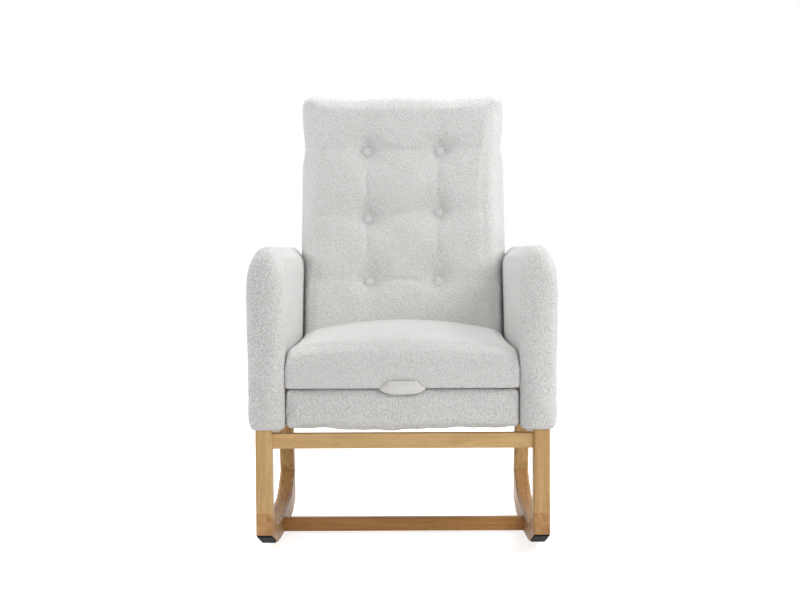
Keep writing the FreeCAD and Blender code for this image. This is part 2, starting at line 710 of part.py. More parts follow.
def back_shell():
    rear = SHELL_FLOOR_N + SHELL_WALL
    outlines = [shell_outline(0.0, STRAP_N)]
    for turn in quarter(SHELL_ROUND_STEPS):
        n = rear - SHELL_ROUND * (1 - math.sin(turn))
        outlines.append(shell_outline(SHELL_ROUND * (1 - math.cos(turn)), n))
    tray = slab(shell_outline(SHELL_WALL, STRAP_N), V(0, SHELL_FLOOR_N - STRAP_N, 0))
    return lean(Part.makeLoft(outlines, True, True).cut(tray))


def back_top_rail():
    plate = slab(shell_outline(SHELL_WALL + FIT, POST_N), V(0, POST_DEPTH, 0))
    limits = box((-BOARD_OUTER, BOARD_OUTER), span(POST_N, POST_DEPTH), span(POST_TOP, CUTTER))
    opening = box(
        centred(2 * (BOARD_OUTER - TOP_RAIL_LEG)),
        span(POST_N, POST_DEPTH),
        (POST_TOP - 2 * TOP_RAIL_ARCH, SHELL_TOP - SHELL_WALL - FIT - TOP_RAIL_CROWN),
    )

    def top_corner(edge):
        return edge.BoundBox.YLength > FIT and edge.BoundBox.ZMin > POST_TOP

    return lean(plate.common(limits).cut(rounded(opening, TOP_RAIL_ARCH, top_corner)))


def back_bottom_rail():
    z = span(POST_BOTTOM, BACK_BOTTOM_RAIL_HEIGHT)
    return lean(box((-BOARD_INNER, BOARD_INNER), span(POST_N, BOARD_THICK), z))


# Tufting

def tuft_points():
    """X and T of each button."""
    points = []
    for row in range(TUFT_ROWS):
        share = row / (TUFT_ROWS - 1)
        x = TUFT_COLUMN_LOW + share * (TUFT_COLUMN_HIGH - TUFT_COLUMN_LOW)
        slip = TUFT_SLIP if row == TUFT_ROWS // 2 else 0.0
        t = TUFT_FIRST_T + row * TUFT_STEP
        points += [(x, t + slip), (-x, t - slip)]
    return points


def tuft_slots(slack, start_n, end_n):
    """Upright boxes along the ties of the buttons."""
    return [
        box(centred(TIE_WIDTH + 2 * slack, x), (start_n, end_n), centred(TIE_THICK + 2 * slack, t))
        for x, t in tuft_points()
    ]


def back_webbing():
    """Straps across the posts: one behind each row of buttons and one between the rows."""
    straps = []
    for place in range(2 * TUFT_ROWS):
        t = TUFT_FIRST_T + (place - 1) * TUFT_STEP / 2
        strap = box((-BOARD_OUTER, BOARD_OUTER), span(STRAP_N, STRAP_THICK), centred(STRAP_WIDTH, t))
        strap = strap.common(slab(shell_outline(SHELL_WALL + FIT, STRAP_N), V(0, STRAP_THICK, 0)))
        straps.append(lean(strap.cut(tuft_slots(FIT, STRAP_N, POST_N))))
    return straps


def swell_heights():
    """T and swell of the sections below the head: swell is 0 along a row, 1 half-way to the next."""
    half_gap = TUFT_STEP / 2 - TUFT_BAND
    rises = [(TUFT_BAND + half_gap * turn / (math.pi / 2), math.sin(turn)) for turn in quarter(SWELL_STEPS)]
    heights = [(BACK_CUSHION_FOOT, 1.0)]
    for row in range(TUFT_ROWS):
        t = TUFT_FIRST_T + row * TUFT_STEP
        heights += [(t - rise, swell) for rise, swell in reversed(rises)]
        heights += [(t + rise, swell) for rise, swell in rises[:-1]]
    return heights + [(BACK_HEAD_T, 1.0)]


def back_half_width(t):
    top_row = TUFT_FIRST_T + (TUFT_ROWS - 1) * TUFT_STEP
    if t <= TUFT_FIRST_T + TUFT_STEP / 2:
        return BACK_WIDTH_LOW / 2
    return (BACK_WIDTH_WAIST if t <= top_row + TUFT_BAND else BACK_WIDTH_HEAD) / 2


def back_section(t, swell, half_width, squeeze):
    """Cross-section of the back cushion: flat behind, three swells in front with two channels."""
    rear = BACK_CUSHION_THICK
    middle = (BACK_EDGE_N + rear) / 2

    def at(n):
        return middle + (n - middle) * squeeze

    column = (TUFT_COLUMN_LOW + TUFT_COLUMN_HIGH) / 2
    edge = at(BACK_EDGE_N)
    channel = at(CHANNEL_N + (DIMPLE_N - CHANNEL_N) * (1 - swell))
    crown = at(-BACK_CROWN + BACK_PULL * (1 - swell))
    swollen = half_width + BACK_SIDE_SWELL
    panel = (column + half_width) / 2

    def arc(start, via, end):
        ends = [V(x, n, t) for x, n in (start, via, end)]
        return Part.Arc(*ends).toShape()

    back = Part.LineSegment(V(-half_width, at(rear), t), V(half_width, at(rear), t)).toShape()
    return Part.Wire([
        back,
        arc((half_width, at(rear)), (swollen, at(middle)), (half_width, edge)),
        arc((half_width, edge), (panel, crown), (column, channel)),
        arc((column, channel), (0, crown), (-column, channel)),
        arc((-column, channel), (-panel, crown), (-half_width, edge)),
        arc((-half_width, edge), (-swollen, at(middle)), (-half_width, at(rear))),
    ])


def back_cushion():
    heights = swell_heights()
    sections = [back_section(t, swell, back_half_width(t), 1.0) for t, swell in heights]
    for degrees in (35, 60, 80):
        turn = math.radians(degrees)
        t = BACK_HEAD_T + BACK_HEAD * math.sin(turn)
        squeeze = math.cos(turn)
        half_width = BACK_WIDTH_HEAD / 2 - BACK_HEAD_ROUND * (1 - squeeze)
        sections.append(back_section(t, 1.0, half_width, squeeze))
    whole = Part.makeLoft(sections, True, True)
    seats = [rod(BUTTON_RADIUS + FIT, V(x, 0, t), V(x, BUTTON_SEAT_N, t)) for x, t in tuft_points()]
    holes = tuft_slots(FIT, 0.0, BACK_CUSHION_THICK)
    below = box(centred(2 * CUTTER), centred(2 * CUTTER), (-CUTTER, BACK_CUSHION_BOTTOM_Z))
    return lean(whole.cut(seats + holes)).cut(below)


def tuft_buttons():
    front = BUTTON_SEAT_N - BUTTON_HEIGHT
    return [lean(rod(BUTTON_RADIUS, V(x, BUTTON_SEAT_N, t), V(x, front, t))) for x, t in tuft_points()]


def tuft_ties():
    return [lean(tie) for tie in tuft_slots(0.0, BUTTON_SEAT_N, POST_N)]


def tie_clips():
    n = span(POST_N, CLIP_THICK)
    return [lean(box(centred(CLIP_SIZE, x), n, centred(CLIP_SIZE, t))) for x, t in tuft_points()]


# Back brackets

def back_bracket():
    """Steel plate over the joint of a seat side board and a back post."""
    return lean(box((BOARD_INNER - BRACKET_THICK, BOARD_INNER), BRACKET_N, BRACKET_T))


# Footrest slides

SLIDE_Y = span(run(SLIDE_RUN), SLIDE_LENGTH)
SLIDE_Z = span(SLIDE_BOTTOM_Z, SLIDE_HEIGHT)
SLIDE_STEP = SLIDE_WALL + SLIDE_PLAY


def channel(x, z, hollow_x):
    """Rolled channel: a bar with its hollow cut from one side."""
    bar = box(x, SLIDE_Y, z)
    return bar.cut(box(hollow_x, SLIDE_Y, grown(z, -SLIDE_WALL)))


def slide_outer():
    x = (RUNNER_OUTER + SLIDE_LIP, BOARD_INNER)
    return channel(x, SLIDE_Z, (x[0], x[1] - SLIDE_WALL))


def slide_middle():
    x = (RUNNER_OUTER + SLIDE_WALL, BOARD_INNER - SLIDE_STEP)
    return channel(x, grown(SLIDE_Z, -SLIDE_STEP), (x[0], x[1] - SLIDE_WALL))


def slide_inner():
    x = (RUNNER_OUTER, BOARD_INNER - 2 * SLIDE_STEP)
    return channel(x, grown(SLIDE_Z, -2 * SLIDE_STEP), (x[0] + SLIDE_WALL, x[1]))


# Footrest

FRONT_PAD_Y = span(run(FRONT_PAD_RUN), FRONT_PAD_DEPTH)
FRONT_PAD_Z = (FRONT_PAD_BOTTOM_Z, FRONT_PAD_TOP_Z)
DECK_Y = span(run(DECK_RUN), DECK_LENGTH)


def front_board(slack=0.0):
    half = ARM_INNER - FRONT_PAD_GAP - FRONT_BOARD_MARGIN + slack
    y = (FRONT_PAD_Y[1] - FRONT_BOARD_THICK - slack, FRONT_PAD_Y[1])
    return box((-half, half), y, grown(FRONT_PAD_Z, slack - FRONT_BOARD_MARGIN))


def front_pad_outline(inset, z):
    half = ARM_INNER - FRONT_PAD_GAP - inset
    front = FRONT_PAD_Y[0] + inset
    rear = FRONT_PAD_Y[1]
    return path(
        V(half, rear, z),
        V(half, front + FRONT_PAD_CROWN, z),
        (V(0, front, z), V(-half, front + FRONT_PAD_CROWN, z)),
        V(-half, rear, z),
    )


def front_pad():
    low, high = FRONT_PAD_Z
    turns = quarter(FRONT_PAD_ROUND_STEPS)
    places = [(low + FRONT_PAD_ROUND * (1 - math.cos(turn)), turn) for turn in turns]
    places += [(high - FRONT_PAD_ROUND * (1 - math.cos(turn)), turn) for turn in reversed(turns)]
    outlines = [front_pad_outline(FRONT_PAD_ROUND * (1 - math.sin(turn)), z) for z, turn in places]
    return Part.makeLoft(outlines, True, True).cut(front_board(FIT))


def runner():
    x = (RUNNER_OUTER - RUNNER_THICK, RUNNER_OUTER)
    return box(x, DECK_Y, span(SLIDE_BOTTOM_Z, RUNNER_HEIGHT))


def deck():
    return box((-RUNNER_OUTER, RUNNER_OUTER), DECK_Y, span(DECK_BOTTOM_Z, DECK_THICK))


def top_pad():
    y = (DECK_Y[0] + FIT, DECK_Y[1])
    block = box((-RUNNER_OUTER, RUNNER_OUTER), y, span(TOP_PAD_BOTTOM_Z, TOP_PAD_THICK))
    return rounded(block, TOP_PAD_ROUND, lambda edge: edge.BoundBox.ZMin > TOP_PAD_BOTTOM_Z + FIT)


def pull_tab():
    """Cloth strap whose ends are sewn into the seam and whose middle bows forward."""
    half = TAB_LENGTH / 2
    seam_z = FRONT_PAD_TOP_Z + FIT
    root = FRONT_PAD_Y[0] - FIT
    bow = V(0, root - TAB_BOW, 0)
    inner_bow = bow + V(0, TAB_THICK, 0)
    strap = Part.Wire([
        Part.Arc(V(-half, root, 0), bow, V(half, root, 0)).toShape(),
        Part.LineSegment(V(half, root, 0), V(half - TAB_THICK, root, 0)).toShape(),
        Part.Arc(V(half - TAB_THICK, root, 0), inner_bow, V(TAB_THICK - half, root, 0)).toShape(),
        Part.LineSegment(V(TAB_THICK - half, root, 0), V(-half, root, 0)).toShape(),
    ])
    bowed = slab(strap, V(0, 0, TAB_RISE + TAB_FALL))
    bowed.translate(V(0, 0, seam_z - TAB_FALL))
    front = root - TAB_BOW - TAB_THICK
    lens = path(
        V(-half - FIT, front, seam_z + TAB_FOOT_THICK),
        V(-TAB_TOP_LENGTH / 2, front, seam_z + TAB_RISE),
        V(TAB_TOP_LENGTH / 2, front, seam_z + TAB_RISE),
        V(half + FIT, front, seam_z + TAB_FOOT_THICK),
        V(half + FIT, front, seam_z),
        (V(0, front, seam_z - TAB_FALL), V(-half - FIT, front, seam_z)),
    )
    handle = bowed.common(slab(lens, V(0, TAB_BOW + 2 * TAB_THICK, 0)))
    foot_y = (root - TAB_THICK / 2, FRONT_PAD_Y[0] + TAB_FOOT)
    foot_z = span(seam_z, TAB_FOOT_THICK)
    feet = [box(centred(TAB_FOOT, side * (half - TAB_FOOT / 2)), foot_y, foot_z) for side in (-1, 1)]
    return handle.fuse(feet).removeSplitter()


def chair():
    """Every piece by name."""
    parts = {}
    parts.update(pair("rocker", rocker()))
    parts.update(pair("stop_pad", stop_pad()))
    parts.update(pair("front_leg", front_leg()))
    parts.update(pair("rear_leg", rear_leg()))
    parts.update(pair("side_rail", side_rail()))
    parts["front_apron"] = cross_rail(FRONT_APRON_Y, APRON_Z, RAIL_ROUND, front_apron_tenon())
    parts["rear_apron"] = cross_rail(REAR_APRON_Y, APRON_Z, RAIL_ROUND, rear_apron_tenon())
    parts["lower_stretcher"] = cross_rail(STRETCHER_Y, STRETCHER_Z, STRETCHER_ROUND, stretcher_tenon())
    parts["base_bolts"] = both_sides(base_bolts())
    parts.update(pair("arm_frame", arm_frame()))
    parts.update(pair("arm_pad", arm_pad()))
    parts["arm_bolts"] = both_sides(arm_bolts())
    parts.update(pair("seat_side_board", side_board()))
    parts["seat_front_rail"] = seat_rail(FRONT_RAIL_Y, SEAT_RAIL_Z)
    parts["seat_back_rail"] = seat_rail(BACK_RAIL_Y, SEAT_RAIL_Z)
    lower_z = span(SEAT_BOX_BOTTOM_Z, LOWER_RAIL_HEIGHT)
    parts["seat_lower_rail"] = seat_rail(span(run(SEAT_DEPTH - LOWER_RAIL_SETBACK), BOARD_THICK), lower_z)
    parts["seat_corner_blocks"] = both_sides(corner_blocks())
    parts["seat_webbing"] = group(seat_webbing())
    parts["seat_cushion"] = seat_cushion()
    parts["dust_cover"] = dust_cover()
    parts.update(pair("back_post", back_post()))
    parts["back_top_rail"] = back_top_rail()
    parts["back_bottom_rail"] = back_bottom_rail()
    parts["back_webbing"] = group(back_webbing())
    parts["back_cushion"] = back_cushion()
    parts["back_shell"] = back_shell()
    parts["tuft_buttons"] = group(tuft_buttons())
    parts["tuft_ties"] = group(tuft_ties())
    parts["tie_clips"] = group(tie_clips())
    parts.update(pair("back_bracket", back_bracket()))
    parts.update(pair("slide_outer", slide_outer()))
    parts.update(pair("slide_middle", slide_middle()))
    parts.update(pair("slide_inner", slide_inner()))
    parts["footrest_front_board"] = front_board()
    parts["footrest_front_pad"] = front_pad()
    parts.update(pair("footrest_runner", runner()))
    parts["footrest_deck"] = deck()
    parts["footrest_top_pad"] = top_pad()
    parts["pull_tab"] = pull_tab()
    return parts


os.makedirs("parts", exist_ok=True)
for name, shape in chair().items():
    shape.exportStep(f"parts/{name}.step")
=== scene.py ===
import json
import math

import bmesh
import bpy
import numpy as np
from mathutils import Matrix, Vector

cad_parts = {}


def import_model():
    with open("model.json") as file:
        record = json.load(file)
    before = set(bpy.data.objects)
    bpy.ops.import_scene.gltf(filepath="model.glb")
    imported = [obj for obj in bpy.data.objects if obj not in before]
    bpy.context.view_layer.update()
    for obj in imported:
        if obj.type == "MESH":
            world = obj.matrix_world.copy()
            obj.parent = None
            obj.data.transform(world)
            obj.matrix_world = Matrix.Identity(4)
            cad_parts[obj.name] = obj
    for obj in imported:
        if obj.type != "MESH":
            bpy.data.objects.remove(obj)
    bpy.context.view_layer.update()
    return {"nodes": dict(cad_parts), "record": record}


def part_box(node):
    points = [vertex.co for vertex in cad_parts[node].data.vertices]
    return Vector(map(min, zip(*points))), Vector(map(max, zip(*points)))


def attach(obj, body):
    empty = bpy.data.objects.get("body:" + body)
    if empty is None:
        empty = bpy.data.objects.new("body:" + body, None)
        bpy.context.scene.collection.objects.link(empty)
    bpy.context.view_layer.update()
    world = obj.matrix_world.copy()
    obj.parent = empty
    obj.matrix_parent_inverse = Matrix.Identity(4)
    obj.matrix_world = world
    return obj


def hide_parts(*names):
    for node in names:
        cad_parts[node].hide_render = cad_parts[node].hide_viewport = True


# Looks of the upholstered rocking chair. Metres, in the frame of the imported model:
# the chair faces -Y, +X is the sitter's left, and the floor is Z = 0.

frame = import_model()
NODES = frame["nodes"]
CHAIR = "chair"
FOOTREST = "footrest"

# Camera, from the perspective of the legs and arms in the photograph
CAMERA_PLACE = (0.020, -3.40, 0.7112)
CAMERA_TURN = math.radians(0.457)
CAMERA_PITCH = math.radians(-2.70)
CAMERA_ROLL = math.radians(-0.33)
CAMERA_LENS = 62.05             # mm
CAMERA_SENSOR = 36.0            # mm

# Light
SKY_STRENGTH = 0.33
FLOOR_GLOW = 0.74               # makes the floor read white, with a soft shadow left in it
FLOOR_REACH = 9.0               # from its middle to its edges
LIGHT_AIM = Vector((0.0, 0.0, 0.55))

# The back leans about the rear end of the seat. N runs square to it, T up it.
BACK_RECLINE = math.radians(16.0)
BACK_FOOT = Vector((0.0, 0.119, 0.470))
BACK_N = Vector((0.0, math.cos(BACK_RECLINE), -math.sin(BACK_RECLINE)))
BACK_T = Vector((0.0, math.sin(BACK_RECLINE), math.cos(BACK_RECLINE)))

# Padding. A cap is how far the cloth may swell, and what is held lies on what carries the pad.
VOXEL = 0.006
CLOTH_FRAMES = 14
CLOTH_STEPS = 3
CLOTH_PRESSURE = 4.0
SNUG = 0.0018                   # how far a pad grows into the gap beside it

# Arms
ARM_VOXEL = 0.007
ARM_SMOOTHING = 12
ARM_CAP = 0.003
ARM_HELD = 0.004                # depth of the inner side and of the bottom that is held
ARM_CROWN = 0.0045              # padding above the top of the arm
ARM_SWELLS = (                  # fullness of the outside: size, Z of its middle and height
    (0.0048, 0.310, 0.075), (0.0042, 0.635, 0.045),
)
ARM_TOP_ZONE = 0.080            # height over which the top falls
ARM_INNER_FALL = 0.006          # it falls this much towards the sitter
ARM_INNER_POWER = 1.5           # more of it near the inner edge
ARM_REAR_FALL = 0.009           # and this much towards the rear

# Seat
SEAT_SMOOTHING = 3
SEAT_CAP = 0.005
SEAT_HELD = 0.05                # height of its lower part, which is held
SEAT_LOW_GROWTH = Vector((SNUG, 0.001, 0.0006))
SEAT_HIGH_GROWTH = Vector((SNUG, 0.0, 0.001))

# Back cushion, in its own N and T
BACK_TOP = 0.6455
BACK_BOTTOM = -0.040
BACK_WIDTHS = (                 # T and half width
    (0.20, 0.2555), (0.28, 0.2540), (0.45, 0.2520), (0.50, 0.2565), (0.58, 0.2650), (0.63, 0.2695),
)
BACK_CORNER = 0.030             # radius of its top corners, seen from the front
BACK_FRONT_EDGE = 0.040         # reach of the rounding along the front edge
BACK_LOW_EDGE = 0.012           # and between the arms
BACK_ARM_TOP = (0.10, 0.20)     # T between which it changes
BACK_REAR_EDGE = 0.006
BACK_SIDE_N = (0.034, 0.0936)   # the straight part of its sides
BACK_REAR_N = 0.0945
BACK_REAR_WIDTH = 0.2680        # half width where it meets its cover
BACK_SHOULDER = (0.485, 0.512)  # T between which it narrows to the head
BACK_WALL_STEPS = 8
BACK_GRID = 0.005
BACK_CAP = 0.003
PILLOW = 0.0105                 # swell between buttons, in front of N = 0
DIMPLE_N = 0.0125               # where the cloth lies under a button
DIMPLE_FLOOR = 0.011            # radius of its flat floor
DIMPLE_TIGHT = 0.017
DIMPLE_WIDE = 0.038
ROW_FOLD = 0.0036               # depth of the soft folds along rows and columns of buttons
ROW_FOLD_WIDTH = 0.022
COLUMN_FOLD = 0.0042
COLUMN_FOLD_WIDTH = 0.018
FOLD_SLACK = 0.6                # share of that depth left half-way between two buttons
FOLD_END = 0.35                 # share left at the sides and at the top
CREST_SOFTNESS = 0.05
TOP_WAVE = 0.006                # the top edge sinks this much above the columns
TOP_WAVE_WIDTH = 0.045
TOP_WAVE_SPREAD = 1.25          # that place, as a multiple of the buttons' X
TOP_WAVE_POWER = 6              # keeps the wave to the top of the cushion

# Cover of the back's frame
SHELL_VOXEL = 0.0055
SHELL_SMOOTHING = 2
SHELL_CAP = 0.006
SHELL_FREE = 0.006              # depth of its rear, which isn't held
SHELL_RIM = 0.012               # depth over which its rim is drawn forward to the cushion

# Button, as a profile of radius and height above the cloth
BUTTON_PROFILE = (
    (0.0000, 0.0062), (0.0045, 0.0059), (0.0086, 0.0048), (0.0116, 0.0030), (0.0132, 0.0006),
    (0.0135, -0.0018), (0.0126, -0.0038), (0.0100, -0.0048), (0.0000, -0.0050),
)
BUTTON_SEGMENTS = 32
BUTTON_GRIP = 0.0116            # radius of the cloth that a button holds down

# Pull tab, measured from the seam in which its ends are sewn
TAB_HALF = 0.0505
TAB_TOP_HALF = 0.030
TAB_RISE = 0.0180
TAB_FALL = 0.0108
TAB_INSET = 0.004               # the seam lies this far behind the front of the panel
TAB_OUT = 0.0150                # its middle stands off this far
TAB_END = 0.1                   # share of its rise and fall left at its ends
TAB_LIP = 0.0065                # its top edge leans back this much
TAB_LIP_SHARE = 0.30            # share of its height that leans back
TAB_CURL = 0.0025               # its bottom edge turns in this much
TAB_CURL_SHARE = 0.25
TAB_THICK = 0.0024
TAB_EDGE = 0.15                 # share of that thickness left at its edges
TAB_HEM = 0.0012                # extra thickness of its hem
TAB_HEM_START = 0.76            # share of its height above the hem
TAB_HEM_STEP = 0.03
TAB_STATIONS = 72
TAB_POINTS = 30

# Dust cover under the seat
DUST_COVER_SAG = 0.004
DUST_COVER_POINTS = 60
DUST_COVER_POWER = 0.6          # flattens the middle of the sag

# Footrest's front and its hem, which hangs lower left of the middle
PANEL_VOXEL = 0.0045
PANEL_SMOOTHING = 1
PANEL_CAP = 0.004
PANEL_HELD = 0.012              # depth of its rear, which is held
PANEL_LOW_GROWTH = Vector((SNUG, 0.002, 0.0))
PANEL_HIGH_GROWTH = Vector((SNUG, 0.0, 0.0007))
HEM_ZONE = 0.020                # height over which the hem's waves die out
HEM_HEIGHT = 0.006
HEM_GROOVE = 0.0022
HEM_GROOVE_WIDTH = 0.0028
HEM_DROP = 0.0045
HEM_DROP_PLACES = (-0.150, -0.115, -0.010, 0.095)
HEM_WAVE = 0.0008
HEM_WAVE_LENGTHS = (0.017, 0.0093)
HEM_WAVE_SHIFT = 1.0

# Footrest's top
FOOTREST_SMOOTHING = 3
FOOTREST_CAP = 0.004
FOOTREST_HELD = 0.006           # height of its lower part, which is held
FOOTREST_CROWN = 0.003


# Mesh helpers

def new_object(name, mesh):
    made = bpy.data.objects.new(name, mesh)
    bpy.context.scene.collection.objects.link(made)
    return made


def mesh_object(name, places, faces):
    mesh = bpy.data.meshes.new(name)
    mesh.from_pydata([tuple(place) for place in places], [], [tuple(map(int, face)) for face in faces])
    mesh.validate()
    mesh.shade_smooth()
    return new_object(name, mesh)


def shape_object(name, shape):
    """New object from a bmesh, which is used up."""
    mesh = bpy.data.meshes.new(name)
    shape.to_mesh(mesh)
    shape.free()
    return new_object(name, mesh)


def joined_shape(node):
    """Bmesh copy of a CAD node with its doubled points joined."""
    shape = bmesh.new()
    shape.from_mesh(NODES[node].data)
    bmesh.ops.remove_doubles(shape, verts=shape.verts, dist=1e-5)
    return shape


def copy_of(node, name):
    return shape_object(name, joined_shape(node))


def hull_of(node, name):
    """Convex hull of a CAD node: its outside, without hollows."""
    shape = joined_shape(node)
    bmesh.ops.convex_hull(shape, input=shape.verts)
    loose = [vert for vert in shape.verts if not vert.link_faces]
    bmesh.ops.delete(shape, geom=loose, context="VERTS")
    return shape_object(name, shape)


def points(piece):
    found = np.empty(len(piece.data.vertices) * 3)
    piece.data.vertices.foreach_get("co", found)
    return found.reshape(-1, 3)


def set_points(piece, places):
    piece.data.vertices.foreach_set("co", np.asarray(places).ravel())
    piece.data.update()


def evaluated_mesh(piece):
    bpy.context.view_layer.update()
    return bpy.data.meshes.new_from_object(piece.evaluated_get(bpy.context.evaluated_depsgraph_get()))


def remesh(piece, smoothing, voxel=VOXEL):
    """Even mesh of a closed piece, with its edges softened."""
    grid = piece.modifiers.new("remesh", "REMESH")
    grid.mode = "VOXEL"
    grid.voxel_size = voxel
    soft = piece.modifiers.new("soften", "SMOOTH")
    soft.factor = 0.5
    soft.iterations = smoothing
    mesh = evaluated_mesh(piece)
    piece.modifiers.clear()
    piece.data = mesh
    mesh.shade_smooth()


def fit(piece, low, high):
    """Stretches a piece to a box."""
    places = points(piece)
    start, end = places.min(axis=0), places.max(axis=0)
    set_points(piece, np.array(low) + (places - start) / (end - start) * (np.array(high) - np.array(low)))


def inflate(piece, held, cap):
    """Swells a piece with a cloth simulation. Held points stay, others move up to the cap."""
    start = points(piece)
    pins = piece.vertex_groups.new(name="held")
    pins.add([int(place) for place in np.flatnonzero(held)], 1.0, "REPLACE")
    cloth = piece.modifiers.new("cloth", "CLOTH")
    cloth.settings.vertex_group_mass = pins.name
    cloth.settings.use_pressure = True
    cloth.settings.uniform_pressure_force = CLOTH_PRESSURE
    cloth.settings.effector_weights.gravity = 0.0
    cloth.settings.quality = CLOTH_STEPS
    cloth.collision_settings.use_collision = False
    for step in range(1, CLOTH_FRAMES + 1):
        bpy.context.scene.frame_set(step)
    swollen = evaluated_mesh(piece)
    piece.modifiers.clear()
    piece.vertex_groups.clear()
    bpy.context.scene.frame_set(1)
    end = np.empty(start.size)
    swollen.vertices.foreach_get("co", end)
    bpy.data.meshes.remove(swollen)
    moved = end.reshape(-1, 3) - start
    length = np.maximum(np.linalg.norm(moved, axis=1), 1e-9)
    set_points(piece, start + moved * (np.minimum(length, cap) / length)[:, None])


# Material helpers

def material(name, **settings):
    """New material and its principled shader, with constants set on the shader's own sockets."""
    made = bpy.data.materials.new(name)
    made.use_nodes = True
    shader = made.node_tree.nodes["Principled BSDF"]
    for socket, value in settings.items():
        shader.inputs[socket.replace("_", " ")].default_value = value
    return made, shader


def node(made, kind, inputs, **settings):
    """New shader node. An input is a value, or an output of another node to link."""
    tree = made.node_tree
    added = tree.nodes.new(kind)
    for name, value in settings.items():
        setattr(added, name, value)
    for name, value in inputs.items():
        if isinstance(value, bpy.types.NodeSocket):
            tree.links.new(value, added.inputs[name])
        else:
            added.inputs[name].default_value = value
    return added


def connect(made, output, socket):
    made.node_tree.links.new(output, socket)


def object_place(made):
    return node(made, "ShaderNodeTexCoord", {}).outputs["Object"]


def stretched_place(made, scale):
    return node(made, "ShaderNodeMapping", {"Vector": object_place(made), "Scale": scale}).outputs["Vector"]


def noise(made, place, scale, detail=3.0, **inputs):
    sockets = {"Vector": place, "Scale": scale, "Detail": detail, **inputs}
    return node(made, "ShaderNodeTexNoise", sockets).outputs["Fac"]


def calculate(made, operation, *values):
    return node(made, "ShaderNodeMath", dict(enumerate(values)), operation=operation).outputs["Value"]


def ramp(made, factor, *stops):
    """Colour ramp through stops of place and grey or RGB."""
    added = node(made, "ShaderNodeValToRGB", {"Fac": factor})
    elements = added.color_ramp.elements
    while len(elements) < len(stops):
        elements.new(0.5)
    for element, (place, colour) in zip(elements, stops):
        element.position = place
        element.color = (*colour, 1.0) if isinstance(colour, tuple) else (colour, colour, colour, 1.0)
    return added.outputs["Color"]


def bump(made, shader, height, distance):
    added = node(made, "ShaderNodeBump", {"Height": height, "Distance": distance})
    connect(made, added.outputs["Normal"], shader.inputs["Normal"])


# Materials

def teddy_cloth(name, light, shade, curl=0.0042, depth=0.0018):
    """Curly pile: small round curls with painted shade in the gaps between them, and fine fibres on top."""
    made, shader = material(
        name, Roughness=0.95, Specular_IOR_Level=0.15, Sheen_Weight=0.15, Sheen_Roughness=0.6)
    place = object_place(made)
    swirl = node(made, "ShaderNodeTexNoise", {"Vector": place, "Scale": 0.55 / curl, "Detail": 2.0})
    offset = node(
        made, "ShaderNodeVectorMath", {0: swirl.outputs["Color"], 1: (0.5, 0.5, 0.5)}, operation="SUBTRACT")
    warped = node(
        made, "ShaderNodeVectorMath", {0: offset.outputs["Vector"], 1: (1.6 * curl,) * 3, 2: place},
        operation="MULTIPLY_ADD").outputs["Vector"]
    gaps = node(
        made, "ShaderNodeTexVoronoi", {"Vector": warped, "Scale": 1.0 / curl, "Smoothness": 0.35},
        feature="SMOOTH_F1").outputs["Distance"]
    fibres = noise(made, warped, 5.0 / curl)
    pile = calculate(made, "MULTIPLY", gaps, -1.0)
    bump(made, shader, calculate(made, "MULTIPLY_ADD", fibres, 0.22, pile), depth)
    # Painted shade: the gaps between curls take the darker, slightly warmer colour, under a faint random
    # tone.
    tone_and_gap_shade = calculate(made, "MULTIPLY_ADD", noise(made, place, 14.0), 0.25, gaps)
    connect(made, ramp(made, tone_and_gap_shade, (0.15, light), (0.90, shade)), shader.inputs["Base Color"])
    return made


def oak(name, axis, dark, middle, light):
    """Pale oak with its grain along one axis: growth bands, fine pores and a satin coat."""
    made, shader = material(name, Specular_IOR_Level=0.4, Coat_Weight=0.12, Coat_Roughness=0.35)
    scale = [1.0, 1.0, 1.0]
    scale[axis] = 0.06
    grain = stretched_place(made, tuple(scale))
    drift = noise(made, grain, 16.0, 4.0)
    bands = noise(made, grain, 85.0, 5.0, Roughness=0.6, Distortion=0.8)
    pores = noise(made, grain, 620.0, 2.0, Roughness=0.7)
    tone = calculate(made, "MULTIPLY_ADD", drift, 0.6, bands)
    colour = ramp(made, tone, (0.52, dark), (0.72, middle), (0.98, light))
    streaks = ramp(made, pores, (0.36, 0.72), (0.52, 1.0))
    shown = node(
        made, "ShaderNodeMix", {"Factor": 0.55, "A": colour, "B": streaks}, data_type="RGBA",
        blend_type="MULTIPLY")
    connect(made, shown.outputs["Result"], shader.inputs["Base Color"])
    connect(made, ramp(made, pores, (0.3, 0.62), (0.6, 0.42)), shader.inputs["Roughness"])
    bump(made, shader, pores, 0.0002)
    return made


def plywood(name):
    """Plain inner wood: faint bands and rough pores."""
    made, shader = material(name, Roughness=0.7, Specular_IOR_Level=0.3)
    bands = noise(made, stretched_place(made, (1.0, 0.1, 1.0)), 90.0, 4.0)
    colour = ramp(made, bands, (0.3, (0.52, 0.38, 0.22)), (0.7, (0.70, 0.56, 0.37)))
    connect(made, colour, shader.inputs["Base Color"])
    bump(made, shader, bands, 0.0004)
    return made


def zinc(name):
    """Zinc-plated steel: slightly cloudy, with drawn marks."""
    made, shader = material(name, Metallic=1.0)
    marks = noise(made, stretched_place(made, (1.0, 0.04, 1.0)), 800.0, 2.0)
    cloud = noise(made, object_place(made), 60.0)
    colour = ramp(made, cloud, (0.3, (0.52, 0.53, 0.55)), (0.7, (0.68, 0.69, 0.70)))
    connect(made, colour, shader.inputs["Base Color"])
    connect(made, ramp(made, marks, (0.3, 0.28), (0.7, 0.42)), shader.inputs["Roughness"])
    return made


def rubber(name):
    """Black rubber with a fine moulded grain and grey scuffs."""
    made, shader = material(name, Roughness=0.8, Specular_IOR_Level=0.15)
    scuffs = noise(made, object_place(made), 120.0, 4.0)
    colour = ramp(made, scuffs, (0.45, (0.007, 0.007, 0.007)), (0.75, (0.022, 0.021, 0.020)))
    connect(made, colour, shader.inputs["Base Color"])
    bump(made, shader, noise(made, object_place(made), 1400.0, 2.0), 0.0003)
    return made


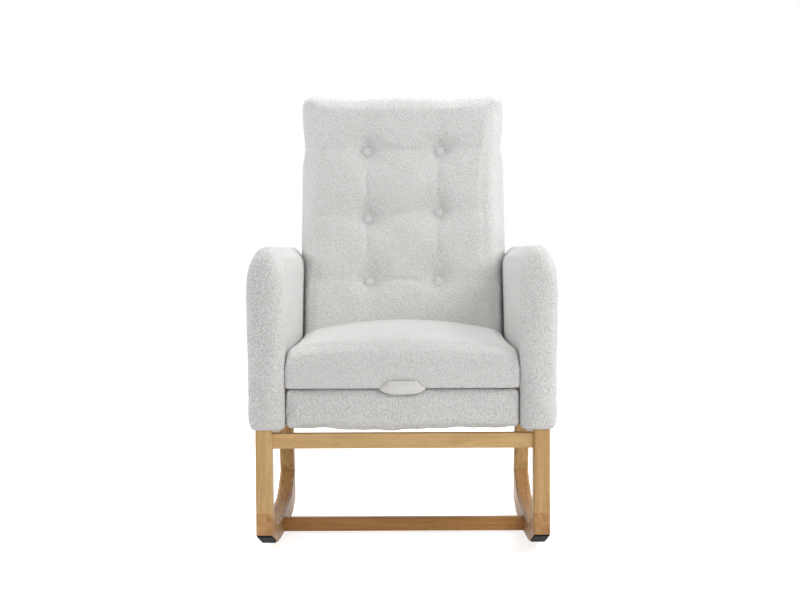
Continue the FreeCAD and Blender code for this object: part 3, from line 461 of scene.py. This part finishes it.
def woven(name, light, shade, thread, axes=(0, 1)):
    """Plain weave: two crossing sets of threads, a little uneven."""
    made, shader = material(name, Roughness=0.9, Specular_IOR_Level=0.2, Sheen_Weight=0.15)
    parts = node(made, "ShaderNodeSeparateXYZ", {"Vector": object_place(made)})
    waves = [
        calculate(made, "SINE", calculate(made, "MULTIPLY", parts.outputs[axis], math.pi / thread))
        for axis in axes
    ]
    weave = calculate(made, "MULTIPLY", *waves)
    fuzz = noise(made, object_place(made), 1.2 / thread)
    bump(made, shader, calculate(made, "MULTIPLY_ADD", fuzz, 0.6, weave), 0.25 * thread)
    connect(made, ramp(made, fuzz, (0.3, shade), (0.7, light)), shader.inputs["Base Color"])
    return made


# Oak as dark, middle and light bands, and pile as the tips of its curls and the painted shade in the gaps
# between them
YELLOW_OAK = ((0.336, 0.167, 0.049), (0.497, 0.291, 0.105), (0.626, 0.400, 0.167))
RED_OAK = ((0.270, 0.118, 0.033), (0.428, 0.207, 0.066), (0.547, 0.296, 0.113))
# The stretcher's oak: browner, and darkened with painted shade from the seat above it.
SHADED_BROWN_OAK = ((0.255, 0.100, 0.020), (0.402, 0.177, 0.039), (0.513, 0.253, 0.068))
TEDDY = teddy_cloth("teddy_cloth", (0.79, 0.785, 0.777), (0.62, 0.613, 0.602))
DEEP_TEDDY = teddy_cloth("deep_teddy_cloth", (0.84, 0.834, 0.824), (0.65, 0.642, 0.63), 0.0044, 0.0032)
BUTTON_CLOTH = teddy_cloth("button_cloth", (0.785, 0.78, 0.77), (0.65, 0.642, 0.63), 0.0040, 0.0009)
OAK = [oak(f"oak_{axis}", axis, *YELLOW_OAK) for axis in range(3)]
ROCKER_OAK = oak("rocker_oak", 1, *RED_OAK)
SHADED_STRETCHER_OAK = oak("shaded_stretcher_oak", 0, *SHADED_BROWN_OAK)
PLYWOOD = plywood("inner_wood")
ZINC = zinc("zinc_steel")
RUBBER = rubber("stop_rubber")
WEBBING = woven("black_webbing", (0.05, 0.05, 0.052), (0.02, 0.02, 0.021), 0.0016)
TAB_CLOTH = woven("tab_cloth", (0.88, 0.865, 0.83), (0.74, 0.725, 0.69), 0.0011, (0, 2))
SLOT_MATERIALS = {
    "frame_wood": PLYWOOD, "zinc_steel": ZINC, "rubber": RUBBER, "webbing": WEBBING, "upholstery": TEDDY,
    "tab_cloth": TAB_CLOTH,
}


def oak_for(name):
    """Oak with its grain along a node's longest side. The rockers have a redder tone of their own, and the
    stretcher a darker, browner oak with the shade under the seat painted in.
    """
    if name.startswith("rocker"):
        return ROCKER_OAK
    # Painted shade: the stretcher gets a darker oak for the shade under the seat.
    if name == "lower_stretcher":
        return SHADED_STRETCHER_OAK
    low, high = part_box(name)
    return OAK[max(range(3), key=lambda side: high[side] - low[side])]


def finish_nodes():
    """Gives every CAD node its material."""
    for part in frame["record"]["subparts"]:
        name = part["node"]
        surface = SLOT_MATERIALS.get(part["material_slot"]) or oak_for(name)
        NODES[name].data.materials.clear()
        NODES[name].data.materials.append(surface)


def dress(piece, surface, body, replaced):
    """Finishes a new piece: its material, the body it rides on and the node it stands for."""
    piece.data.materials.clear()
    piece.data.materials.append(surface)
    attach(piece, body)
    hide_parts(replaced)


# Arms

def arm(side):
    """Padded arm with soft edges, held where it lies on its board and on the legs."""
    name = f"arm_pad_{side}"
    piece = hull_of(name, f"arm_{side}")
    remesh(piece, ARM_SMOOTHING, ARM_VOXEL)
    low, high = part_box(name)
    inner = min(abs(low[0]), abs(high[0]))
    places = points(piece)
    held = (np.abs(places[:, 0]) < inner + ARM_HELD) | (places[:, 2] < low[2] + ARM_HELD)
    inflate(piece, held, ARM_CAP)
    fit(piece, low, high + Vector((0.0, 0.0, ARM_CROWN)))
    places = points(piece)
    reach = np.clip((np.abs(places[:, 0]) - inner) / (high[0] - low[0]), 0.0, 1.0)
    swell = sum(size * np.exp(-(((places[:, 2] - z) / height) ** 2)) for size, z, height in ARM_SWELLS)
    places[:, 0] += np.sign(places[:, 0]) * swell * reach
    near_top = np.clip((places[:, 2] - high[2] + ARM_TOP_ZONE) / ARM_TOP_ZONE, 0.0, 1.0)
    rearward = (places[:, 1] - low[1]) / (high[1] - low[1])
    inward = np.clip(1.0 - 2.0 * reach, 0.0, 1.0) ** ARM_INNER_POWER
    places[:, 2] -= near_top * (ARM_INNER_FALL * inward + ARM_REAR_FALL * rearward)
    set_points(piece, places)
    dress(piece, DEEP_TEDDY, CHAIR, name)


# Seat

def seat():
    """Crowned seat cushion that fills the width between the arms."""
    piece = copy_of("seat_cushion", "seat_pad")
    remesh(piece, SEAT_SMOOTHING)
    low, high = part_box("seat_cushion")
    inflate(piece, points(piece)[:, 2] < low[2] + SEAT_HELD, SEAT_CAP)
    fit(piece, low - SEAT_LOW_GROWTH, high + SEAT_HIGH_GROWTH)
    dress(piece, TEDDY, CHAIR, "seat_cushion")


# Back

def on_back(x, n, t):
    """Places in the chair's frame from arrays of X, N and T."""
    return (
        np.array(BACK_FOOT)
        + np.asarray(x)[..., None] * np.array((1.0, 0.0, 0.0))
        + np.asarray(n)[..., None] * np.array(BACK_N)
        + np.asarray(t)[..., None] * np.array(BACK_T)
    )


def button_places():
    """X and T of the buttons, lowest first, from the loose pieces of their CAD node."""
    shape = joined_shape("tuft_buttons")
    found = []
    left = set(shape.verts)
    while left:
        reached = [left.pop()]
        for vert in reached:
            near = {edge.other_vert(vert) for edge in vert.link_edges} & left
            left -= near
            reached += near
        middle = sum((vert.co for vert in reached), Vector()) / len(reached) - BACK_FOOT
        found.append((middle.x, middle.dot(BACK_T)))
    shape.free()
    return sorted(found, key=lambda place: place[1])


def crease(distance, width):
    """1 on a fold and down to 0 beside it, with a soft crest."""
    return np.exp(math.sqrt(CREST_SOFTNESS) - np.sqrt((distance / width) ** 2 + CREST_SOFTNESS))


def fold_strength(along, stops):
    """Strength of a fold along its length: full at its buttons and beyond, slack between them."""
    places, shares = [], []
    for place, next_place in zip(stops, stops[1:]):
        places += [place, (place + next_place) / 2]
        shares += [1.0, FOLD_SLACK]
    places.append(stops[-1])
    shares.append(1.0)
    return np.interp(along, places, shares)


def back_front(x, t, buttons):
    """N of the front of the back cushion: pillows between soft folds that join the buttons."""
    surface = np.full(x.shape, -PILLOW)
    rows = [sorted(buttons[first:first + 2]) for first in range(0, len(buttons), 2)]
    for row in rows:
        row_x, row_t = zip(*row)
        outside = np.clip((np.abs(x) - row_x[1]) / (BACK_WIDTHS[0][1] - row_x[1]), 0.0, 1.0)
        strength = fold_strength(x, row_x) * (1.0 - (1.0 - FOLD_END) * outside)
        surface += ROW_FOLD * strength * crease(t - np.interp(x, row_x, row_t), ROW_FOLD_WIDTH)
    for side in (0, 1):
        column_x, column_t = zip(*(row[side] for row in rows))
        above = np.clip((t - column_t[-1]) / (BACK_TOP - column_t[-1]), 0.0, 1.0)
        below = np.clip((column_t[0] - t) / column_t[0], 0.0, 1.0)
        strength = fold_strength(t, column_t) * (1.0 - (1.0 - FOLD_END) * above) * (1.0 - below)
        surface += COLUMN_FOLD * strength * crease(x - np.interp(t, column_t, column_x), COLUMN_FOLD_WIDTH)
    sink = DIMPLE_N + PILLOW - ROW_FOLD - COLUMN_FOLD
    for button_x, button_t in buttons:
        away = np.maximum(np.hypot(x - button_x, t - button_t) - DIMPLE_FLOOR, 0.0)
        surface += sink * (np.exp(-((away / DIMPLE_TIGHT) ** 2)) + crease(away, DIMPLE_WIDE)) / 2
    return surface


def rounding(depth, reach):
    """0 at an edge, 1 from its reach inwards, along a quarter of an ellipse."""
    share = np.clip(depth / reach, 0.0, 1.0)
    return np.sqrt(1.0 - (1.0 - share) ** 2)


def back_grid(buttons):
    """X, T and distance from the edge over the outline of the back cushion."""
    columns = int(2 * BACK_WIDTHS[-1][1] / BACK_GRID)
    rows = int((BACK_TOP - BACK_BOTTOM) / BACK_GRID)
    across, up = np.meshgrid(np.linspace(-1.0, 1.0, columns), np.linspace(0.0, 1.0, rows))
    t = BACK_BOTTOM + up * (BACK_TOP - BACK_BOTTOM)
    width = np.interp(t, *zip(*BACK_WIDTHS))
    x = across * width
    valleys = [TOP_WAVE_SPREAD * place[0] for place in buttons[-2:]]
    wave = TOP_WAVE * sum(np.exp(-(((x - valley) / TOP_WAVE_WIDTH) ** 2)) for valley in valleys)
    t = t - wave * up ** TOP_WAVE_POWER
    top = BACK_TOP - wave
    corner_x = np.maximum(np.abs(x) - (width - BACK_CORNER), 0.0)
    corner_t = np.maximum(t - (top - BACK_CORNER), 0.0)
    beyond = np.hypot(corner_x, corner_t)
    excess = 1.0 - np.minimum(BACK_CORNER / np.maximum(beyond, 1e-9), 1.0)
    x = x - np.sign(x) * corner_x * excess
    t = t - corner_t * excess
    edge = np.minimum(width - np.abs(x), top - t)
    edge = np.where((corner_x > 0.0) & (corner_t > 0.0), BACK_CORNER - beyond, edge)
    return x, t, np.minimum(np.maximum(edge, 0.0), t - BACK_BOTTOM)


def closed_sheets(name, front, rear, steps):
    """Closed mesh from two grids of places, joined along their edges by a wall in some steps."""
    rows, columns = front.shape[:2]
    count = rows * columns
    index = np.arange(count).reshape(rows, columns)
    corners = [index[:-1, :-1], index[:-1, 1:], index[1:, 1:], index[1:, :-1]]
    cells = np.stack([corner.ravel() for corner in corners], axis=1)
    loop = np.concatenate([index[0, :-1], index[:-1, -1], index[-1, :0:-1], index[:0:-1, 0]])
    front, rear = front.reshape(-1, 3), rear.reshape(-1, 3)
    shares = np.linspace(0.0, 1.0, steps + 1)[1:-1, None, None]
    between = front[loop] + (rear[loop] - front[loop]) * shares
    wall = 2 * count + np.arange((steps - 1) * len(loop)).reshape(steps - 1, -1)
    rings = [loop, *wall, loop + count]
    faces = [cells, cells[:, ::-1] + count]
    for ring, next_ring in zip(rings, rings[1:]):
        faces.append(np.stack([np.roll(ring, -1), ring, next_ring, np.roll(next_ring, -1)], axis=1))
    return mesh_object(name, np.concatenate([front, rear, between.reshape(-1, 3)]), np.concatenate(faces))


def back_pad(buttons):
    """Tufted cushion of the back."""
    x, t, edge = back_grid(buttons)
    side_front, side_rear = BACK_SIDE_N
    edge_reach = np.interp(t, BACK_ARM_TOP, (BACK_LOW_EDGE, BACK_FRONT_EDGE))
    front_n = side_front + (back_front(x, t, buttons) - side_front) * rounding(edge, edge_reach)
    rear_n = side_rear + (BACK_REAR_N - side_rear) * rounding(edge, BACK_REAR_EDGE)
    spread = np.maximum(BACK_REAR_WIDTH / np.interp(t, *zip(*BACK_WIDTHS)) - 1.0, 0.0)
    flare = 1.0 + spread * np.interp(t, BACK_SHOULDER, (1.0, 0.0))
    front, rear = on_back(x, front_n, t), on_back(x * flare, rear_n, t)
    piece = closed_sheets("back_pad", front, rear, BACK_WALL_STEPS)
    places = points(piece)
    places[:, 2] = np.maximum(places[:, 2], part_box("back_cushion")[0][2])
    set_points(piece, places)
    near_button = [np.hypot(x - place[0], t - place[1]) < BUTTON_GRIP for place in buttons]
    held = np.ones(len(places), bool)
    held[:x.size] = np.any(near_button, axis=0).ravel()
    held[2 * x.size:] = False
    inflate(piece, held, BACK_CAP)
    dress(piece, TEDDY, CHAIR, "back_cushion")


def covered_buttons(buttons):
    """Domed buttons covered in the same cloth, each seated in its dimple."""
    turns = np.linspace(0.0, 2 * math.pi, BUTTON_SEGMENTS, endpoint=False)
    radius, height = np.array(BUTTON_PROFILE).T
    places, faces = [], []
    for button_x, button_t in buttons:
        first = len(places)
        x = button_x + radius[:, None] * np.cos(turns)
        t = button_t + radius[:, None] * np.sin(turns)
        n = DIMPLE_N - np.repeat(height[:, None], BUTTON_SEGMENTS, axis=1)
        places += list(on_back(x, n, t).reshape(-1, 3))
        for ring in range(len(radius) - 1):
            for turn in range(BUTTON_SEGMENTS):
                after = (turn + 1) % BUTTON_SEGMENTS
                a, b = first + ring * BUTTON_SEGMENTS, first + (ring + 1) * BUTTON_SEGMENTS
                faces.append((a + turn, b + turn, b + after, a + after))
    piece = mesh_object("covered_buttons", places, faces)
    dress(piece, BUTTON_CLOTH, CHAIR, "tuft_buttons")


def back_depth(piece):
    """N of the points of a piece."""
    return (points(piece) - np.array(BACK_FOOT)) @ np.array(BACK_N)


def shell():
    """Padded cover of the back's frame. Its rear swells a little."""
    piece = copy_of("back_shell", "back_cover")
    rim = back_depth(piece).min()
    remesh(piece, SHELL_SMOOTHING, SHELL_VOXEL)
    depth = back_depth(piece)
    near = np.clip(1.0 - (depth - depth.min()) / SHELL_RIM, 0.0, 1.0)
    set_points(piece, points(piece) - ((depth.min() - rim) * near)[:, None] * np.array(BACK_N))
    inflate(piece, depth < depth.max() - SHELL_FREE, SHELL_CAP)
    dress(piece, TEDDY, CHAIR, "back_shell")


# Footrest

def front_panel():
    """Padded front of the footrest, with a wavy hem sewn along its bottom."""
    name = "footrest_front_pad"
    piece = copy_of(name, "front_panel")
    remesh(piece, PANEL_SMOOTHING, PANEL_VOXEL)
    low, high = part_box(name)
    inflate(piece, points(piece)[:, 1] > high[1] - PANEL_HELD, PANEL_CAP)
    fit(piece, low - PANEL_LOW_GROWTH, high + PANEL_HIGH_GROWTH)
    places = points(piece)
    x, above = places[:, 0], places[:, 2] - low[2]
    near = np.clip(1.0 - above / HEM_ZONE, 0.0, 1.0)
    long_wave, short_wave = HEM_WAVE_LENGTHS
    wave = HEM_WAVE * (np.sin(x / long_wave) + np.sin(x / short_wave + HEM_WAVE_SHIFT))
    places[:, 2] += near * (wave - HEM_DROP * np.interp(x, HEM_DROP_PLACES, (0.0, 1.0, 1.0, 0.0)))
    groove = HEM_GROOVE * np.exp(-(((above - HEM_HEIGHT) / HEM_GROOVE_WIDTH) ** 2))
    places[:, 1] += np.where(places[:, 1] < (low[1] + high[1]) / 2, groove, 0.0)
    set_points(piece, places)
    dress(piece, DEEP_TEDDY, FOOTREST, name)


def footrest_pad():
    """Padded top of the footrest, out of sight until it is pulled out."""
    name = "footrest_top_pad"
    piece = copy_of(name, "footrest_pad")
    remesh(piece, FOOTREST_SMOOTHING)
    low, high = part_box(name)
    inflate(piece, points(piece)[:, 2] < low[2] + FOOTREST_HELD, FOOTREST_CAP)
    fit(piece, low, high + Vector((0.0, 0.0, FOOTREST_CROWN)))
    dress(piece, TEDDY, FOOTREST, name)


def tab_section(x, seam, face):
    """Closed cross-section of the pull tab: a lip that leans back, a face and a hem."""
    share = abs(x) / TAB_HALF
    top = TAB_RISE * np.interp(abs(x), (TAB_TOP_HALF, TAB_HALF), (1.0, TAB_END))
    bottom = -TAB_FALL * max(1.0 - share ** 4, TAB_END)
    stand = TAB_OUT * math.sqrt(max(1.0 - share ** 2.2, 0.0))
    down = np.linspace(0.0, 1.0, TAB_POINTS)
    z = top + (bottom - top) * down
    lip = TAB_LIP * np.clip(1.0 - down / TAB_LIP_SHARE, 0.0, 1.0) ** 0.8
    curl = TAB_CURL * np.clip(1.0 - (1.0 - down) / TAB_CURL_SHARE, 0.0, 1.0) ** 2
    out = stand - lip * stand / TAB_OUT - curl
    hem = TAB_HEM * np.clip((down - TAB_HEM_START) / TAB_HEM_STEP, 0.0, 1.0)
    ends = np.sqrt(np.clip(1.0 - (2.0 * down - 1.0) ** 8, 0.0, 1.0))
    half = (TAB_THICK + hem) / 2 * np.maximum(ends, TAB_EDGE)
    outer = np.stack([np.full(TAB_POINTS, x), face - out - half, seam + z], axis=1)
    inner = np.stack([np.full(TAB_POINTS, x), face - out + half, seam + z], axis=1)
    return np.concatenate([outer, inner[::-1]])


def pull_tab():
    """Cloth tab sewn into the seam at both ends, standing off in the middle."""
    seam = (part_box("footrest_front_pad")[1][2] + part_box("seat_cushion")[0][2]) / 2
    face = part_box("footrest_front_pad")[0][1] + TAB_INSET
    stations = TAB_HALF * np.sin(np.linspace(-math.pi / 2, math.pi / 2, TAB_STATIONS))
    rings = np.stack([tab_section(x, seam, face) for x in stations])
    count = rings.shape[1]
    index = np.arange(rings.shape[0] * count).reshape(-1, count)
    after = np.roll(index, -1, axis=1)
    sides = np.stack([index[:-1], after[:-1], after[1:], index[1:]], axis=-1).reshape(-1, 4)
    faces = [*sides, index[0][::-1], index[-1]]
    piece = mesh_object("cloth_tab", rings.reshape(-1, 3), faces)
    dress(piece, TAB_CLOTH, FOOTREST, "pull_tab")


def dust_cover():
    """Black cloth stretched under the seat, with a slight sag."""
    low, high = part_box("dust_cover")
    across, along = np.meshgrid(*(np.linspace(low[side], high[side], DUST_COVER_POINTS) for side in (0, 1)))
    u = (across - low[0]) / (high[0] - low[0])
    v = (along - low[1]) / (high[1] - low[1])
    dip = np.maximum(np.sin(math.pi * u), 0.0) * np.maximum(np.sin(math.pi * v), 0.0)
    sag = DUST_COVER_SAG * dip ** DUST_COVER_POWER
    places = np.stack([across, along, high[2] - sag], axis=-1)
    index = np.arange(across.size).reshape(across.shape)
    corners = [index[:-1, :-1], index[1:, :-1], index[1:, 1:], index[:-1, 1:]]
    faces = np.stack([corner.ravel() for corner in corners], axis=1)
    piece = mesh_object("bottom_cloth", places.reshape(-1, 3), faces)
    dress(piece, WEBBING, CHAIR, "dust_cover")


# Stage

def seen_directly(made):
    """1 for what the camera sees, also in metal and through glass."""
    light_path = node(made, "ShaderNodeLightPath", {})
    seen = calculate(
        made, "MAXIMUM", light_path.outputs["Is Camera Ray"], light_path.outputs["Is Glossy Ray"])
    return calculate(made, "MAXIMUM", seen, light_path.outputs["Is Transmission Ray"])


def floor():
    shape = bmesh.new()
    bmesh.ops.create_grid(shape, x_segments=2, y_segments=2, size=FLOOR_REACH)
    made = shape_object("floor", shape)
    surface, shader = material(
        "floor", Base_Color=(0.86, 0.86, 0.86, 1.0), Roughness=0.9, Specular_IOR_Level=0.1)
    strength = calculate(surface, "MULTIPLY", seen_directly(surface), FLOOR_GLOW)
    glow = node(surface, "ShaderNodeEmission", {"Strength": strength})
    both = node(surface, "ShaderNodeAddShader", {0: shader.outputs["BSDF"], 1: glow.outputs["Emission"]})
    output = surface.node_tree.nodes["Material Output"]
    connect(surface, both.outputs["Shader"], output.inputs["Surface"])
    made.data.materials.append(surface)


def world():
    sky = bpy.data.worlds.new("studio")
    bpy.context.scene.world = sky
    sky.use_nodes = True
    strength = node(
        sky, "ShaderNodeMapRange", {"Value": seen_directly(sky), "To Min": SKY_STRENGTH, "To Max": 1.0})
    background = sky.node_tree.nodes["Background"]
    background.inputs["Color"].default_value = (1.0, 1.0, 1.0, 1.0)
    connect(sky, strength.outputs["Result"], background.inputs["Strength"])


def lamp(name, place, size, power):
    """Round soft light turned to the middle of the chair."""
    light = bpy.data.lights.new(name, "AREA")
    light.shape = "DISK"
    light.size = size
    light.energy = power
    made = new_object(name, light)
    made.location = place
    made.rotation_euler = (LIGHT_AIM - Vector(place)).to_track_quat("-Z", "Y").to_euler()


def camera():
    lens = bpy.data.cameras.new("camera")
    lens.lens = CAMERA_LENS
    lens.sensor_width = CAMERA_SENSOR
    made = new_object("camera", lens)
    made.location = CAMERA_PLACE
    aim = Matrix.Rotation(CAMERA_TURN, 4, "Z") @ Matrix.Rotation(math.pi / 2 + CAMERA_PITCH, 4, "X")
    made.rotation_euler = (aim @ Matrix.Rotation(CAMERA_ROLL, 4, "Z")).to_euler()
    bpy.context.scene.camera = made


bpy.context.scene.view_settings.view_transform = "Standard"
camera()
floor()
world()
lamp("front_light", (0.0, -4.4, 1.0), 1.6, 26.0)
lamp("right_front_light", (2.2, -2.4, 2.2), 1.5, 29.0)
lamp("right_high_light", (2.0, -0.9, 2.9), 1.2, 16.0)
lamp("right_rear_light", (2.6, 0.1, 1.7), 1.2, 27.0)
lamp("left_light", (-2.6, 0.1, 1.7), 1.2, 31.5)
lamp("top_light", (0.0, 0.9, 3.0), 1.6, 42.0)

finish_nodes()
arm("left")
arm("right")
seat()
back_buttons = button_places()
back_pad(back_buttons)
covered_buttons(back_buttons)
shell()
front_panel()
footrest_pad()
pull_tab()
dust_cover()
